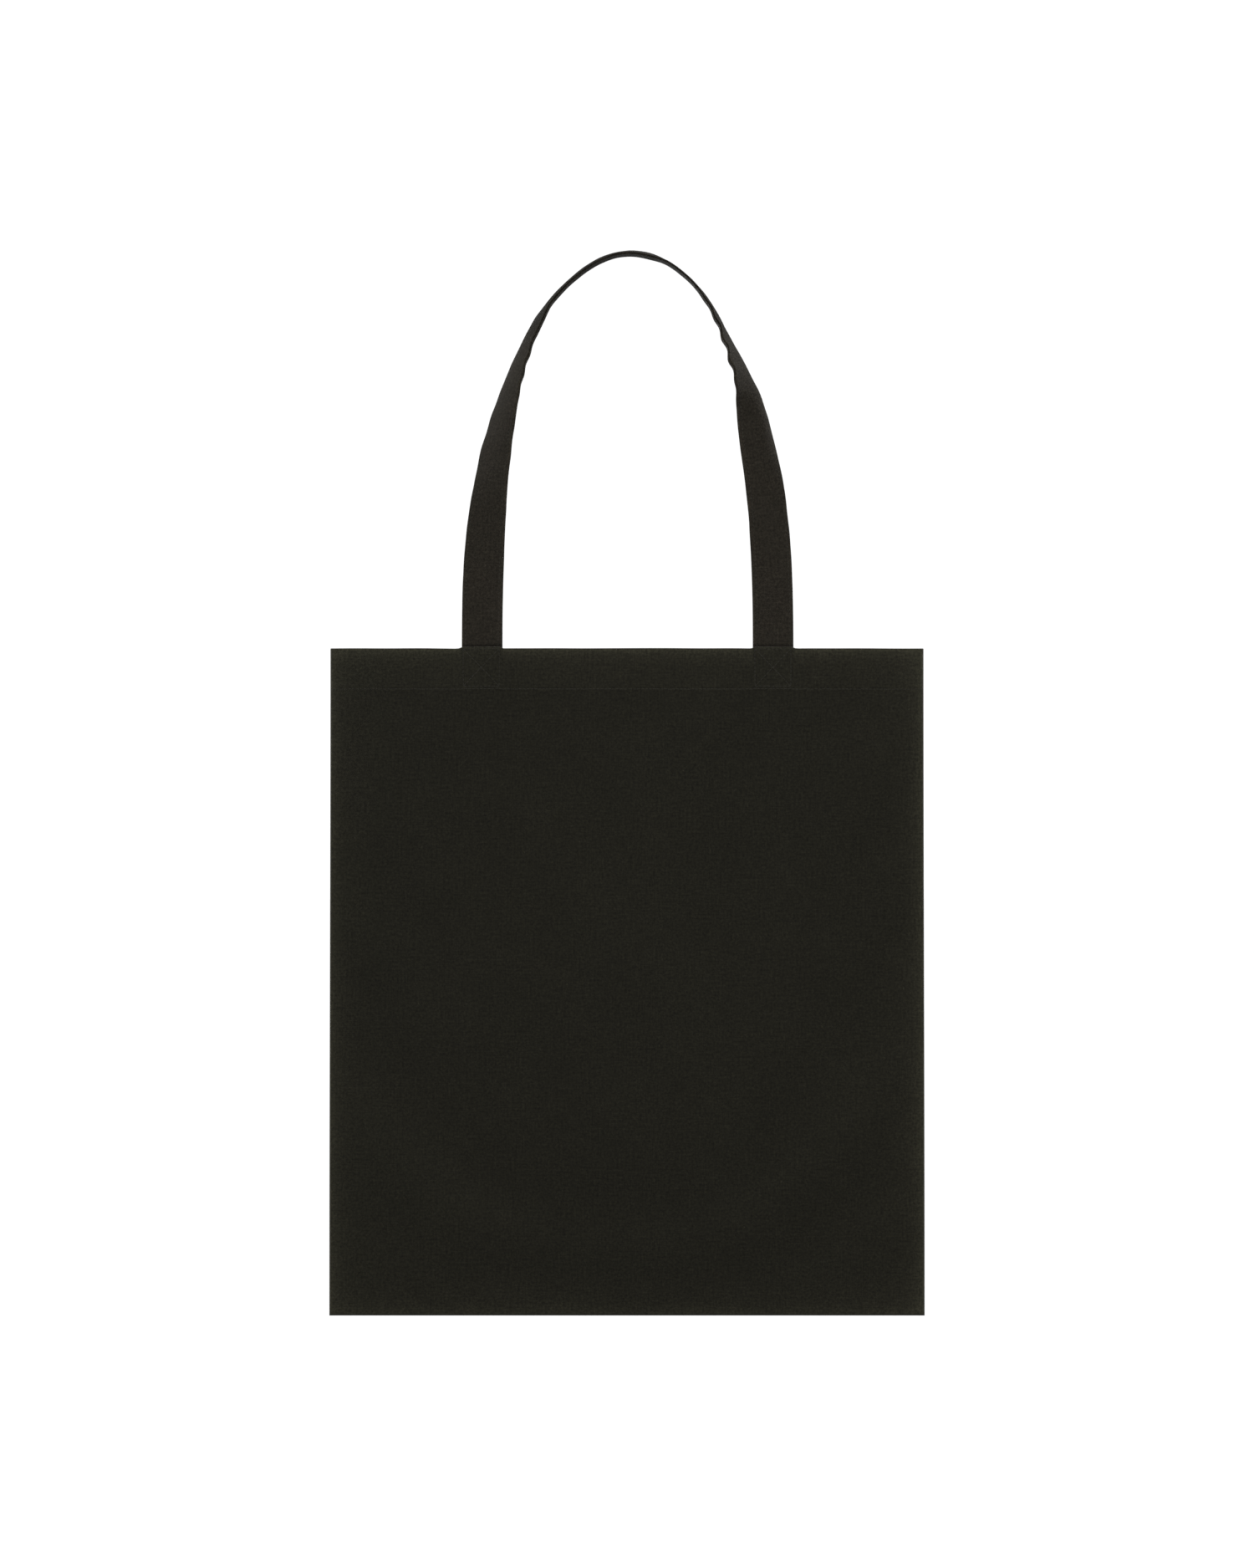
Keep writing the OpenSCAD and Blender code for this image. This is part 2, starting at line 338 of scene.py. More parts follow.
class Bag:
    """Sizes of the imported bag, and the shape of a panel's cloth."""

    def __init__(self):
        low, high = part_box("front_panel")
        self.half_w = high.x
        self.bottom, self.top = low.z, high.z
        self.height = self.top - self.bottom
        self.bow_depth = -low.y - 1.4 * MM
        self.side_s = self.half_w - EDGE_R + EDGE_R * EDGE_TURN
        self.bottom_q = -EDGE_R * EDGE_TURN
        self.top_q = self.height - EDGE_R
        self.apex_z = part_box("front_handle")[1].z - STRAP_T / 2
        self.drape = {side: Drape(self, side) for side in (-1, 1)}

    def bow(self, x, h):
        """How far the smooth panel stands out, at x across and h above the bottom."""
        across = 1 - np.abs(np.clip(x / self.half_w, -1, 1)) ** BOW_SHAPE
        return self.bow_depth * np.clip(h / self.height, 0, 1) ** BOW_POWER * across

    def relief(self, x, h, side):
        """Unevenness of the cloth, outwards: soft waves, seam puckers and what shows from behind."""
        seed = 11 if side < 0 else 47
        to_side = self.half_w - np.abs(x)
        below = self.height - h
        inner = smooth(to_side / (14 * MM)) * smooth(h / (14 * MM))
        folds = self.drape[side].at(x, h)
        side_wave = np.where(x > 0, ripple(h, seed + 4, 0.021), ripple(h, seed + 5, 0.021))
        seam = 0.16 * MM * bell(to_side, 5 * MM, 4 * MM) * side_wave
        foot = 0.16 * MM * bell(h, 5 * MM, 4 * MM) * ripple(x, seed + 6, 0.022)
        body = 0.8 * MM * rounding(to_side / np.where(x > 0, 15 * MM, 9 * MM)) * rounding(h / (12 * MM))
        stitch_off = np.abs(below - HEM_STITCH_DOWN)
        pucker = 0.10 * MM * fade(stitch_off, 3 * MM) * ripple(x, seed + 7, 0.013)
        groove = -0.16 * MM * bell(stitch_off, 0, 0.7 * MM)
        over_strap = smooth((STRAP_W / 2 + 1.5 * MM - off_strap(x)) / (3 * MM))
        behind = 0.22 * MM * over_strap * smooth((HEM_H - below) / (2 * MM))
        turned = 0.26 * MM * smooth((HEM_H - below + 0.4 * MM) / (1.3 * MM))
        turned = turned * (0.5 + 0.5 * smooth((below - HEM_H + TURNED_EDGE + 2 * MM) / (4 * MM)))
        sewn = seam + foot + pucker + groove + behind + turned
        return folds * inner + body + sewn * smooth(to_side / (2 * MM))

    def lift(self, x, h):
        """The top edge is pulled up a little at each strap, and is never quite straight."""
        near_top = smooth((h - self.height + 40 * MM) / (40 * MM))
        over = smooth((STRAP_W / 2 + 2 * MM - off_strap(x)) / (4 * MM))
        return near_top * (1.1 * MM * over + 0.18 * MM * ripple(x, 5, 0.11))

    def point(self, side, s, q, n):
        """Points of a panel's cloth at s, q and n, which may be arrays or single values."""
        s, q, n = np.broadcast_arrays(np.asarray(s, float), np.asarray(q, float), np.asarray(n, float))
        flat_w = self.half_w - EDGE_R
        turn_x = np.clip((np.abs(s) - flat_w) / EDGE_R, 0, None)
        turn_z = np.clip(-q / EDGE_R, 0, None)
        x = np.where(turn_x > 0, flat_w + (EDGE_R - n) * np.sin(turn_x), np.abs(s)) * np.sign(s)
        h = np.where(turn_z > 0, EDGE_R - (EDGE_R - n) * np.sin(turn_z), EDGE_R + q)
        depth = (EDGE_R - n) * np.cos(turn_x) * np.cos(turn_z)
        depth = depth + self.bow(x, h) + self.relief(x, h, side)
        x = x * (1 - MOUTH_DRAW_IN / self.half_w * smooth(h / self.height))
        z = self.bottom + h + self.lift(x, h)
        return np.stack([x, side * depth, z], axis=-1)

    def frame(self, side, s, q, n):
        """Points on a panel, with the directions across it, up it and out of its outer face."""
        step = 0.2 * MM
        s, q = np.asarray(s), np.asarray(q)
        across = self.point(side, s + step, q, n) - self.point(side, s - step, q, n)
        up = self.point(side, s, q + step, n) - self.point(side, s, q - step, n)
        normal = np.cross(across, up) * -side
        return self.point(side, s, q, n), unit(across), unit(up), unit(normal)


# ---- panels

def cloth_path(bag):
    """Middle line of one panel's cloth in section: up the panel, over the top and into the hem."""
    half, fold = CLOTH_T / 2, (CLOTH_T + LAYER_GAP) / 2
    mid = [half + 2 * fold * k for k in range(3)]
    top, hem_low = bag.top_q, bag.top_q - HEM_H
    turn_top, turn_low = top - fold - half, hem_low + fold + half
    shift_top, shift_low = hem_low + TURNED_EDGE + 5 * MM, hem_low + TURNED_EDGE + 1 * MM
    half_turn = np.linspace(0, math.pi, 9)
    path = [(q, mid[0]) for q in panel_rows(bag, hem_low, turn_top)]
    path += [(turn_top + fold * math.sin(a), mid[0] + fold - fold * math.cos(a)) for a in half_turn]
    path += [(q, mid[1]) for q in np.linspace(top - 3 * MM, shift_top, 9)]
    for q in np.linspace(shift_top, shift_low, 5)[1:]:
        inwards = float(smooth((shift_top - q) / (shift_top - shift_low)))
        path.append((q, mid[1] + (mid[2] - mid[1]) * inwards))
    path += [(q, mid[2]) for q in np.linspace(shift_low, turn_low + 0.4 * MM, 6)[1:]]
    path += [(turn_low - fold * math.sin(a), mid[1] + fold + fold * math.cos(a)) for a in half_turn]
    path += [(q, mid[1]) for q in np.linspace(hem_low + 1.6 * MM, hem_low + TURNED_EDGE, 5)]
    return np.array(path)


def panel_rows(bag, hem_low, turn_top):
    """Rows up a panel, closer together at the hem's lower edge and at its stitches."""
    stitch = bag.top_q - HEM_STITCH_DOWN
    rows = list(np.linspace(bag.bottom_q, 0, 5)) + list(np.linspace(3 * MM, 12 * MM, 4))
    rows += list(np.linspace(15 * MM, hem_low - 5 * MM, 112))
    rows += [hem_low - 3 * MM, hem_low - 1.2 * MM, hem_low - 0.3 * MM, hem_low + 0.4 * MM]
    rows += [stitch + d * MM for d in (-0.4, 0, 0.4, 0.9, 1.8)]
    return rows + list(np.linspace(stitch + 3.6 * MM, turn_top - 0.6 * MM, 13))


def section_ring(path):
    """The cloth's section as a closed ring, one face up the path and the other back, with its run."""
    tangent = unit(np.gradient(path, axis=0))
    normal = np.stack([-tangent[:, 1], tangent[:, 0]], axis=-1)
    outer = path - normal * CLOTH_T / 2
    inner = path + normal * CLOTH_T / 2
    run = distance_along(path)
    ring = np.concatenate([outer, inner[::-1]])
    return ring, np.concatenate([run, run[::-1]])


def panel_columns(bag):
    """Columns of half a panel, closer together at its side and beside the strap's edges."""
    flat_w = bag.half_w - EDGE_R
    cols = list(np.linspace(0, flat_w - 12 * MM, 62)) + list(np.linspace(flat_w - 9.5 * MM, flat_w, 6))
    beside = (-1.5, -0.5, 0.5, 1.5)
    at_strap = [STRAP_X + hand * (STRAP_W / 2 + k * MM) for hand in (-1, 1) for k in beside]
    cols = [c for c in cols if min(abs(c - a) for a in at_strap) > 0.4 * MM] + at_strap
    return np.array(sorted(cols) + list(np.linspace(flat_w, bag.side_s, 6))[1:])


def panel_wear_and_painted_light(bag, s, q):
    """Paler at its sides, bottom and top edge: partly wear where the cloth is folded and rubbed, partly
    painted highlight that stands in for sheen and light caught by the rolled edges.
    """
    to_side, to_bottom, to_top = bag.side_s - np.abs(s), q - bag.bottom_q, np.abs(q - bag.top_q)
    # Painted highlight mixed with wear: the sides (the right one further in) and the bottom are paler,
    # standing in for sheen and light caught by the rolled edges and light from below.
    side = 0.6 * fade(to_side, 3 * MM) + np.where(s > 0, 0.65, 0.4) * fade(to_side, 8 * MM)
    foot = 0.55 * fade(to_bottom, 3 * MM) + 0.6 * fade(to_bottom, 9 * MM)
    # Painted highlight mixed with wear: the hem's top edge is paler, standing in for light from above
    # on its curve.
    top = fade(to_top, 1.2 * MM)
    rim = fade(to_top, 4.5 * MM)
    beside_strap = smooth((off_strap(s) - STRAP_W / 2 + 1 * MM) / (3 * MM))
    edge = (0.9 * rim + 0.3 * top) * (0.3 + 0.7 * beside_strap)
    hem = smooth((q - bag.top_q + HEM_H) / (0.8 * MM)) * (0.1 + edge)
    return np.clip(side + foot + hem, 0, 1)


def half_panel(bag, name, side, hand, material):
    """Half of one panel, from the middle to one side seam, with its hem folded over."""
    ring, run = section_ring(cloth_path(bag))
    s = hand * panel_columns(bag)
    grid_s, grid_q = np.meshgrid(s, ring[:, 0], indexing="ij")
    grid_v = np.broadcast_to(run, grid_s.shape)
    verts = bag.point(side, grid_s, grid_q, ring[:, 1])
    faces = ring_faces(len(s), len(ring), "strip")
    if side * hand < 0:
        faces = flip(faces)
    uv = paired(grid_s + 0.5 * (side > 0), grid_v)
    wear_and_painted_light = panel_wear_and_painted_light(bag, grid_s, grid_q).ravel()
    obj = make_mesh(name, verts, faces, uv, wear_and_painted_light, material)
    body = f"{WORD[side]}_panel"
    move_with_panel(obj)
    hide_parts(body)


def move_with_panel(obj):
    """Bakes the object's transform into its mesh."""
    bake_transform(obj)


# ---- straps

def turn_at(table, share):
    shares, degrees = zip(*table)
    return np.interp(share, shares, degrees)


def soften(values, width):
    """Values that are each averaged with their neighbours."""
    kernel = np.hanning(width + 2)[1:-1]
    padded = np.pad(values, width, mode="edge")
    return np.convolve(padded, kernel / kernel.sum(), mode="same")[width:-width]


class Strap:
    """Middle line of a strap, with the directions across its width and out of its outer face."""

    def __init__(self, bag, side):
        self.bag, self.side = bag, side
        rise = bag.apex_z - bag.top
        t = np.linspace(0, math.pi, 4001)
        arch_h = rise * np.sin(t) ** (2 / ARCH_POWER)
        share = arch_h / rise
        x = -STRAP_X * np.cos(t) + self.lean(t, share)
        hem_n = HEM_BACK + STRAP_T / 2
        foot = abs(float(bag.point(side, STRAP_X, bag.top_q, hem_n)[1]))
        depth = foot + (APEX_Y - foot) * smooth(share)
        line = np.stack([x, side * depth, bag.top + arch_h], axis=-1)
        left, right = turn_at(TWIST_LEFT, share), turn_at(TWIST_RIGHT, share)
        turn = np.radians(np.where(t < math.pi / 2, left, right))
        out = unit(np.stack([2 * -STRAP_X * np.cos(t) / STRAP_X ** 2, 0 * t,
                             ARCH_POWER * share ** (ARCH_POWER - 1) / rise], axis=-1))
        self.resample(*self.add_tails(line, out, turn, self.tail(hem_n)))

    def lean(self, t, share):
        """How far the strap lies to the right of a symmetric arch."""
        left = LEFT_IN + (APEX_SHIFT - LEFT_IN) * smooth((share - 0.86) / 0.1)
        left = left - LEFT_BELLY * bell(share, 0.72, 0.2)
        right = APEX_SHIFT * smooth((share - 0.76) / 0.14)
        right = right + RIGHT_BELLY * bell(share, 0.655, 0.11)
        return np.where(t < math.pi / 2, left, right)

    def tail(self, hem_n):
        """Centres of the left end inside the hem, from its lower edge to just under the top edge."""
        q = np.linspace(self.bag.top_q - STRAP_TAIL, self.bag.top_q - 0.3 * MM, 80)
        return self.bag.point(self.side, -STRAP_X + 0 * q, q, hem_n)

    def add_tails(self, line, out, turn, tail):
        """The arch with a straight end at each foot, inside the hem."""
        left, right = tail.copy(), tail[::-1].copy()
        left[:, 0], right[:, 0] = line[0, 0], line[-1, 0]
        side_out = np.tile([[-1.0, 0, 0]], (len(tail), 1))
        line = np.concatenate([left, line, right])
        out = np.concatenate([side_out, out, -side_out])
        return line, out, np.pad(turn, len(tail), mode="edge")

    def resample(self, line, out, turn):
        """Even steps along the strap, with the directions of its length, width and face at each."""
        run = distance_along(line)
        self.run = np.linspace(0, run[-1], int(run[-1] / STRAP_STEP))
        self.line, out = resampled(self.run, run, line), resampled(self.run, run, out)
        for k in range(2):
            self.line[:, k] = soften(self.line[:, k], 9)
        turn = soften(np.interp(self.run, run, turn), 15)
        turn = turn + np.radians(2.2) * ripple(self.run, 21, 0.05) * self.loose()
        tangent = unit(np.gradient(self.line, axis=0))
        width = out * np.cos(turn)[:, None] + np.array([0, -self.side, 0]) * np.sin(turn)[:, None]
        self.width = unit(width - tangent * np.sum(width * tangent, axis=1, keepdims=True))
        face = np.cross(tangent, self.width)
        near_foot = 5
        looks_out = np.sign(face[near_foot, 1] * self.side) or 1.0
        self.face, self.tangent = unit(face) * looks_out, tangent
        self.section_turn, self.across, self.outward = self.curled()

    def height_share(self):
        """How high each step of the strap is: 0 at the top edge of the bag, 1 at the arch's top."""
        return (self.line[:, 2] - self.bag.top) / (self.bag.apex_z - self.bag.top)

    def curve_across(self):
        """How far the strap's section curves back from its middle to each edge, most where it turns."""
        height = self.height_share()
        left = CAMBER_LEFT * bell(height, 0.66, 0.2)
        right = CAMBER_RIGHT * bell(height, 0.6, 0.13)
        return 0.02 + np.where(self.line[:, 0] > 0, right, left) * self.loose()

    def loose(self):
        """0 where the strap is sewn down, 1 where it is free."""
        from_left = smooth((self.run - STRAP_TAIL - SEWN_ABOVE) / FREE_OVER)
        from_right = smooth((self.run[-1] - STRAP_TAIL - SEWN_ABOVE - self.run) / FREE_OVER)
        return from_left * from_right

    def buckle(self, w):
        """Small waves along the strap's inner edge where it turns most."""
        height = self.height_share()
        left, right = 0.6 * bell(height, 0.72, 0.07), bell(height, 0.76, 0.1)
        where = np.where(self.line[:, 0] > 0, right, left)
        wave = np.sin(2 * math.pi * self.run / BUCKLE_PITCH + 1.2) + 0.4 * ripple(self.run, 3, 0.04)
        inner = np.clip(-w / (STRAP_W / 2), 0, 1) ** 2
        edge = 0.12 * MM * ripple(self.run, 33, 0.03) * self.loose() * abs(w) / (STRAP_W / 2)
        return BUCKLE * where * wave * inner + edge

    def curled(self):
        """The curved section at each step along the strap: its turn, and its place across and out."""
        share = np.linspace(-1, 1, 2 * SECTION_STEPS + 1)
        right = 2 * smooth((share + 0.1) / 1.1) - 0.75
        turn = self.curve_across()[:, None] * np.where(self.line[:, :1] > 0, right, share)
        between = (turn[:, 1:] + turn[:, :-1]) / 2
        step = STRAP_W / 2 * (share[1] - share[0])
        across = np.cumsum(np.pad(np.cos(between) * step, ((0, 0), (1, 0))), axis=1)
        outward = np.cumsum(np.pad(-np.sin(between) * step, ((0, 0), (1, 0))), axis=1)
        middle = slice(SECTION_STEPS, SECTION_STEPS + 1)
        return turn, across - across[:, middle], outward - outward[:, middle]

    def pick_across(self, values, w):
        """The values of the section at w across, for each step of the strap's length."""
        place = (np.clip(w / (STRAP_W / 2), -1, 1) + 1) * SECTION_STEPS
        low = min(int(place), 2 * SECTION_STEPS - 1)
        return values[:, low] + (values[:, low + 1] - values[:, low]) * (place - low)

    def at(self, w, d):
        """The strap's points at w across and d out of its middle, one for each step of its length."""
        across = self.pick_across(self.across, w)[:, None]
        outward = self.pick_across(self.outward, w)[:, None]
        out = (d + self.buckle(w))[:, None]
        return self.line + self.width * across + self.face * outward + self.normal(w) * out

    def normal(self, w):
        """Directions out of the strap's outer face at w across."""
        angle = self.pick_across(self.section_turn, w)[:, None]
        return self.face * np.cos(angle) + self.width * np.sin(angle)


def strap_section():
    """The folded strap's section: one folded edge, and one edge where two folds meet."""
    half = STRAP_W / 2
    upper = [(half, 0.0), (half - 0.06 * MM, 0.32), (half - 0.25 * MM, 0.56), (half - 0.7 * MM, 0.72)]
    upper += [(half - 1.5 * MM, 0.74), (half - 2.0 * MM, 0.72), (half - STRAP_STITCH_IN, 0.67)]
    upper += [(half - 2.6 * MM, 0.72), (half - 3.3 * MM, 0.75), (half - 6 * MM, 0.79)]
    upper += [(half - 9 * MM, 0.80), (0, 0.81)]
    mirrored = [(-w, d) for w, d in upper[:-1][::-1]]
    upper += mirrored[:-3] + [(-half + 0.2 * MM, 0.62), (-half + 0.03 * MM, 0.38)]
    upper += [(-half + 0.22 * MM, 0.12)]
    groove = [(-half + 0.9 * MM, 0.03)]
    ring = upper + groove + [(w, -d) for w, d in (upper[1:] + groove)[::-1]]
    return np.array([(w, d * MM) for w, d in ring])


def strap_mesh(strap, name, material):
    ring = strap_section()
    verts = np.stack([strap.at(w, d) for w, d in ring], axis=1)
    rings, n = verts.shape[:2]
    faces = ring_faces(rings, n, "polygon")
    if strap.side > 0:
        faces = flip(faces)
    grid_v, grid_u = np.meshgrid(strap.run, ring[:, 0] + 0.7, indexing="ij")
    wear_and_painted_light = strap_wear_and_painted_light(strap, ring[:, 0])
    obj = make_mesh(name, verts, faces, paired(grid_u, grid_v), wear_and_painted_light, material)
    side = WORD[strap.side]
    fold_with_handle(obj)
    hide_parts(f"{side}_handle", f"{side}_handle_ends")


def strap_wear_and_painted_light(strap, w):
    """Paler along the edges, partly wear and partly painted sheen; darker in the crease above the hem,
    a painted shadow, and at the top of the arch, painted shade that tones down the light falling there.
    """
    edge = fade(STRAP_W / 2 - np.abs(w), 0.9 * MM)
    above_hem = np.minimum(strap.run, strap.run[-1] - strap.run) - STRAP_TAIL
    # painted shadow in the crease where the strap bends in behind the hem's top edge
    painted_crease_shadow = bell(above_hem, 2.3 * MM, 1.1 * MM)
    # painted shade: the top of the arch is darkened against the light that falls on it from above
    painted_top_shade = smooth((strap.height_share() - 0.74) / 0.1)
    return (0.3 * edge[None, :] + 0.1 - (0.5 * painted_crease_shadow + 0.35 * painted_top_shade)[:, None]).ravel()


def fold_with_handle(obj):
    """Bakes the object's transform into its mesh."""
    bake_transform(obj)


# ---- thread

# Places along half a stitch, with the thread's height and size there, in its own radii.
STITCH_SHAPE = [(-1.0, -1.3, 0.7), (-0.84, -0.25, 0.95), (-0.5, 0.5, 1.0), (0, 0.7, 1.0),
                (0.5, 0.5, 1.0), (0.84, -0.25, 0.95), (1.0, -1.3, 0.7)]


def stitch_geometry(points, tangents, normals, sides=6):
    """One short thread for each point, which rises out of the cloth, lies on it and goes back in."""
    side_dir = np.cross(tangents, normals)
    angles = np.linspace(0, 2 * math.pi, sides, endpoint=False) - math.pi / 2
    rings = []
    for along, height, size in STITCH_SHAPE:
        centre = points + tangents * along * STITCH_LENGTH / 2 + normals * height * THREAD_R
        ring = []
        for a in angles:
            sideways = side_dir * math.cos(a) * THREAD_R * size
            ring.append(centre + sideways + normals * math.sin(a) * THREAD_R * 0.85 * size)
        rings.append(np.stack(ring, axis=1))
    verts = np.stack(rings, axis=1)
    count, n_rings = verts.shape[0], len(STITCH_SHAPE)
    base = flip(ring_faces(n_rings, sides, "polygon"))
    faces = []
    for k in range(count):
        faces += shifted(base, k * n_rings * sides)
    u = np.tile(np.arange(sides) / sides, count * n_rings)
    v = np.tile(np.repeat([a for a, _, _ in STITCH_SHAPE], sides), count) * 0.5
    v = v + np.repeat(np.arange(count), n_rings * sides)
    return verts.reshape(-1, 3), faces, np.stack([u, v], axis=-1)


def join_geometry(parts):
    """The vertices, faces and UVs of several parts as those of one mesh."""
    verts, faces, uvs, offset = [], [], [], 0
    for v, f, uv in parts:
        verts.append(v)
        faces += shifted(f, offset)
        uvs.append(uv)
        offset += len(v)
    return np.concatenate(verts), faces, np.concatenate(uvs)


def along_line(a, b):
    """Centres of the stitches on a line from a to b, in the cloth's s and q, and its direction."""
    a, b = np.array(a, float), np.array(b, float)
    count = max(1, int(round(np.linalg.norm(b - a) / PITCH)))
    return a + (b - a) * ((np.arange(count) + 0.5) / count)[:, None], unit(b - a)


def panel_stitches(bag, side, a, b, seed):
    """Stitches on a panel's outer face between two points of the cloth."""
    centres, direction = along_line(a, b)
    rng = np.random.RandomState(seed)
    centres = centres + rng.normal(0, STITCH_JITTER, centres.shape)
    p, across, up, normal = bag.frame(side, centres[:, 0], centres[:, 1], 0)
    tangent = unit(across * direction[0] + up * direction[1] + 0.03 * rng.normal(size=p.shape))
    tangent = unit(tangent - normal * np.sum(tangent * normal, axis=1, keepdims=True))
    return stitch_geometry(p, tangent, normal)


def hem_stitches(bag, name, side, hand, material):
    """The line of stitches that holds half of one panel's hem."""
    q, start = bag.top_q - HEM_STITCH_DOWN, 0.5 * PITCH * (hand > 0)
    ends = ((hand * start, q), (hand * (bag.half_w - 1.2 * MM), q))
    obj = make_mesh(name, *panel_stitches(bag, side, *ends, 60 + side + hand), material=material)
    move_with_panel(obj)
    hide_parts(f"{WORD[side]}_hem_stitching")


def box_lines(bag, hand):
    """The square and its crossing lines over one strap end, in the cloth's s and q."""
    low, high = bag.top_q - BOX_LOW, bag.top_q - BOX_HIGH
    left, right = hand * STRAP_X - BOX_HALF_W, hand * STRAP_X + BOX_HALF_W
    corners = [(left, low), (left, high), (right, high), (right, low)]
    return list(zip(corners, corners[1:] + corners[:1])) + list(zip(corners[:2], corners[2:]))


def box_stitches(strap, node, hand, material):
    """The crossed square that fixes one strap end, seen from outside and from inside."""
    lines = box_lines(strap.bag, hand)
    parts = [panel_stitches(strap.bag, strap.side, *line, 80 + i) for i, line in enumerate(lines)]
    parts += [strap_end_stitches(strap, hand, *line) for line in lines]
    obj = make_mesh(f"{node}_threads", *join_geometry(parts), material=material)
    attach(obj, f"{WORD[strap.side]}_panel")
    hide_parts(node)


def strap_end_stitches(strap, hand, a, b):
    """One of the square's lines seen from inside the bag, on the strap end's inner face."""
    centres, direction = along_line(a, b)
    inner = HEM_BACK + STRAP_T - 0.04 * MM
    middle_s = hand * STRAP_X + 0 * centres[:, 0]
    middle, across, up, normal = strap.bag.frame(strap.side, middle_s, centres[:, 1], inner)
    p = middle + across * (centres[:, 0] - hand * STRAP_X)[:, None]
    tangent = unit(across * direction[0] + up * direction[1])
    return stitch_geometry(p, tangent, -normal)


def strap_stitches(strap, name, material):
    """Rows of stitches near both edges, on the strap's outer and inner faces."""
    parts = []
    for face in (1, -1):
        begin = STRAP_TAIL + 1.5 * MM if face > 0 else 3 * MM
        marks = np.arange(begin, strap.run[-1] - begin, PITCH)
        for edge in (-1, 1):
            w = edge * (STRAP_W / 2 - STRAP_STITCH_IN)
            rows = strap.at(w, face * STITCH_LEVEL), strap.tangent, strap.normal(w) * face
            points, tangents, normals = (resampled(marks, strap.run, row) for row in rows)
            parts.append(stitch_geometry(points, unit(tangents), unit(normals)))
    obj = make_mesh(name, *join_geometry(parts), material=material)
    fold_with_handle(obj)
    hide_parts(f"{WORD[strap.side]}_handle_stitching")


# ---- seams inside the bag

SIDE_SEAM_IN, BOTTOM_SEAM_IN = 0.75 * MM, 0.6 * MM  # from the bag's outline to an allowance
ALLOWANCE_FACE = 0.36 * MM  # from an allowance's middle to its outer faces
ALLOWANCE_WEAR = 0.1
THREAD_FACE = 0.42 * MM  # and to the threads that lie on them
NEEDLE_LINE = ALLOWANCE_W - OVERLOCK_W + 0.6 * MM  # of the overlocking, in from the seam


def seam_point(bag, where, along, inward, y):
    """A point of a seam allowance: along it, inward from the seam, and y through it."""
    if where == "bottom":
        return np.stack([along, y, bag.bottom + BOTTOM_SEAM_IN + inward], axis=-1)
    hand = -1 if where == "left" else 1
    draw = 1 - MOUTH_DRAW_IN / bag.half_w * smooth(along / bag.height)
    x = hand * (bag.half_w * draw - SIDE_SEAM_IN - inward)
    return np.stack([x, y, bag.bottom + along], axis=-1)


def seam_run(bag, where):
    """Places along a seam allowance: across the bottom, or up a side and into the hem."""
    if where == "bottom":
        reach = bag.half_w - ALLOWANCE_W - 1.5 * MM
        return np.linspace(-reach, reach, 150)
    return np.linspace(1.2 * MM, bag.height - 0.8 * MM, 170)


def seam_wave(along, inward, seed):
    """How far an allowance waves through the bag, most at its free edge."""
    return 0.16 * MM * ripple(along, seed, 0.045) * smooth(inward / ALLOWANCE_W)


def seam_allowance(bag, where, material):
    """Two layers of cloth, sewn together and left inside the bag."""
    verts, faces, uv = join_geometry([allowance_layer(bag, where, layer) for layer in (-1, 1)])
    wear_and_painted_light = np.full(len(verts), ALLOWANCE_WEAR)
    obj = make_mesh(f"{where}_allowance", verts, faces, uv, wear_and_painted_light, material)
    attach(obj, "seams")
    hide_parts("bottom_seam" if where == "bottom" else f"{where}_side_seam")


def allowance_layer(bag, where, layer):
    """One layer of a seam allowance, whose inner faces part a little towards the free edge."""
    along = seam_run(bag, where)
    inward = np.linspace(0, ALLOWANCE_W - 0.4 * MM, 7)
    ring = [(w, layer * (0.003 + 0.012 * w / ALLOWANCE_W) * MM) for w in inward]
    ring += [(w, layer * ALLOWANCE_FACE) for w in inward[::-1]]
    rows = []
    for w, y in ring:
        wave = seam_wave(along, w, SEAM_SEEDS[where])
        rows.append(seam_point(bag, where, along, w + 0 * along, y + wave))
    verts = np.stack(rows, axis=1)
    faces = ring_faces(len(along), len(ring), "strip")
    faces = faces if (layer > 0) == (where == "left") else flip(faces)
    grid_v, grid_u = np.meshgrid(along, [w for w, _ in ring], indexing="ij")
    return verts.reshape(-1, 3), faces, paired(grid_u, grid_v)


def tube(points, radius, sides=5):
    """A thread along a line of points, with closed ends."""
    tangent = unit(np.gradient(points, axis=0))
    side_dir = unit(np.cross(tangent, np.array([0.31, 0.17, 0.93])))
    up = np.cross(side_dir, tangent)
    angles = np.linspace(0, 2 * math.pi, sides, endpoint=False)
    ring = [points + (side_dir * math.cos(a) + up * math.sin(a)) * radius for a in angles]
    verts = np.stack(ring, axis=1)
    run = distance_along(points) / PITCH
    grid_v, grid_u = np.meshgrid(run, np.arange(sides) / sides, indexing="ij")
    faces = flip(ring_faces(len(points), sides, "polygon"))
    return verts.reshape(-1, 3), faces, paired(grid_u, grid_v)


def overlock_thread(bag, where, material):
    """Looper threads zigzag over the allowance's cut edge, and a needle thread holds them."""
    run = seam_run(bag, where)
    low = run[0] + (3 if where == "bottom" else ALLOWANCE_W / MM + 1) * MM
    turns = int((run[-1] - 2 * MM - low) / OVERLOCK_PITCH)
    parts = [looper_thread(bag, where, low, turns)]
    parts += [needle_thread(bag, where, low, turns, face) for face in (-1, 1)]
    obj = make_mesh(f"{where}_overlocking", *join_geometry(parts), material=material)
    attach(obj, "seams")
    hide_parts(f"{where}_overlock_thread")


